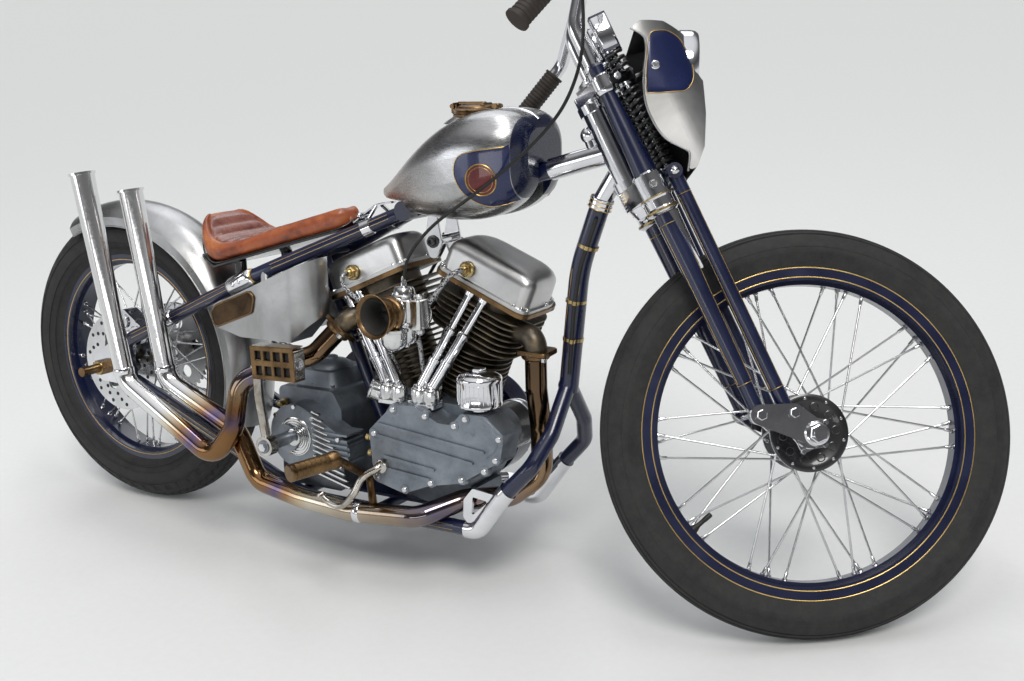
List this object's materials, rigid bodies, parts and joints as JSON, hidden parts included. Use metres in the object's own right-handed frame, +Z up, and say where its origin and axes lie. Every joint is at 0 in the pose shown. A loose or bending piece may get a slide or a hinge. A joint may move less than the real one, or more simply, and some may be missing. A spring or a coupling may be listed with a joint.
{
  "type": "rigid-frame chopper motorcycle",
  "caption": "Rigid-frame chopper with a narrow v-twin, sprung girder fork, wire wheels and upswept pipes, parked on its side stand.",
  "frame": {"origin": "on the floor, at the middle of the bounding box's bottom face", "axes": "+X forward along the bike, +Y to the rider's left, +Z up; the bike leans left on its stand and is steered left"},
  "size_m": [2.1461, 0.6958, 1.2078],
  "materials": {
    "bare_metal": "brushed bare metal under clear lacquer",
    "black_paint": "satin black",
    "bronze": "warm bronze",
    "cast_alloy": "cast and lightly blasted",
    "chrome": "mirror chrome",
    "dark_blue_paint": "deep dark blue gloss paint with fine gold lines",
    "grip_rubber": "matt dark",
    "heat_tinted_chrome": "chrome with straw and blue heat tint",
    "lamp_glass": "clear fluted lens",
    "polished_alloy": "polished",
    "spring_black": "gloss black",
    "tan_leather": "orange-tan hide with a darker tucked middle",
    "tyre_rubber": "matt black"
  },
  "bodies": {
    "frame": {"axle_plates": "chrome", "backbone": "dark_blue_paint", "brake_caliper": "chrome", "cam_cover": "cast_alloy", "carburettor": "polished_alloy", "cradle_lugs": "chrome", "crankcase": "cast_alloy", "crossmembers": "dark_blue_paint", "cylinders": "cast_alloy", "downtube": "dark_blue_paint", "drive_chain": "bare_metal", "exhaust_front": "heat_tinted_chrome", "exhaust_rear": "heat_tinted_chrome", "foot_controls": "bronze", "fuel_cap": "bronze", "fuel_tank": "bare_metal", "gearbox": "cast_alloy", "generator": "black_paint", "kick_lever": "chrome", "lower_rails": "dark_blue_paint", "oil_filter": "chrome", "oil_tank": "bare_metal", "primary_cover": "dark_blue_paint", "pushrod_tubes": "chrome", "rear_axle": "bare_metal", "rear_fender": "bare_metal", "rocker_covers": "polished_alloy", "seat": "tan_leather", "seat_pan": "black_paint", "stand_bracket": "chrome", "steering_head": "chrome", "upper_stays": "dark_blue_paint"},
    "rear_wheel": {"rear_tyre": "tyre_rubber", "rear_rim": "dark_blue_paint", "rear_hub": "chrome", "rear_sprocket": "bare_metal"},
    "front_wheel": {"front_tyre": "tyre_rubber", "front_rim": "dark_blue_paint", "front_hub": "chrome"},
    "fork": {"fork_stem": "chrome", "fork_legs": "dark_blue_paint", "spring_legs": "dark_blue_paint", "fork_springs": "spring_black", "fork_rockers": "chrome", "handlebar": "chrome", "handlebar_grips": "grip_rubber", "headlight_shell": "bare_metal", "headlight": "lamp_glass"},
    "side_stand": {"side_stand": "chrome"}
  },
  "joints": [
    {"name": "steering", "type": "hinge", "parent": "frame", "child": "fork", "pos_m": [0.44778, 0.04894, 0.78761], "axis": [-0.466, 0.1231, 0.8762], "range_deg": [-70, 0]},
    {"name": "front_wheel_spin", "type": "hinge", "parent": "fork", "child": "front_wheel", "pos_m": [0.77033, 0.03278, 0.32229], "axis": [-0.5075, 0.774, -0.3787], "continuous": true},
    {"name": "rear_wheel_spin", "type": "hinge", "parent": "frame", "child": "rear_wheel", "pos_m": [-0.74613, -0.01616, 0.32436], "axis": [0, 0.9903, -0.1392], "continuous": true},
    {"name": "side_stand_fold", "type": "hinge", "parent": "frame", "child": "side_stand", "pos_m": [-0.05705, 0.09801, 0.07329], "axis": [0.043, 0.3798, 0.9241], "range_deg": [0, 102.6]}
  ]
}
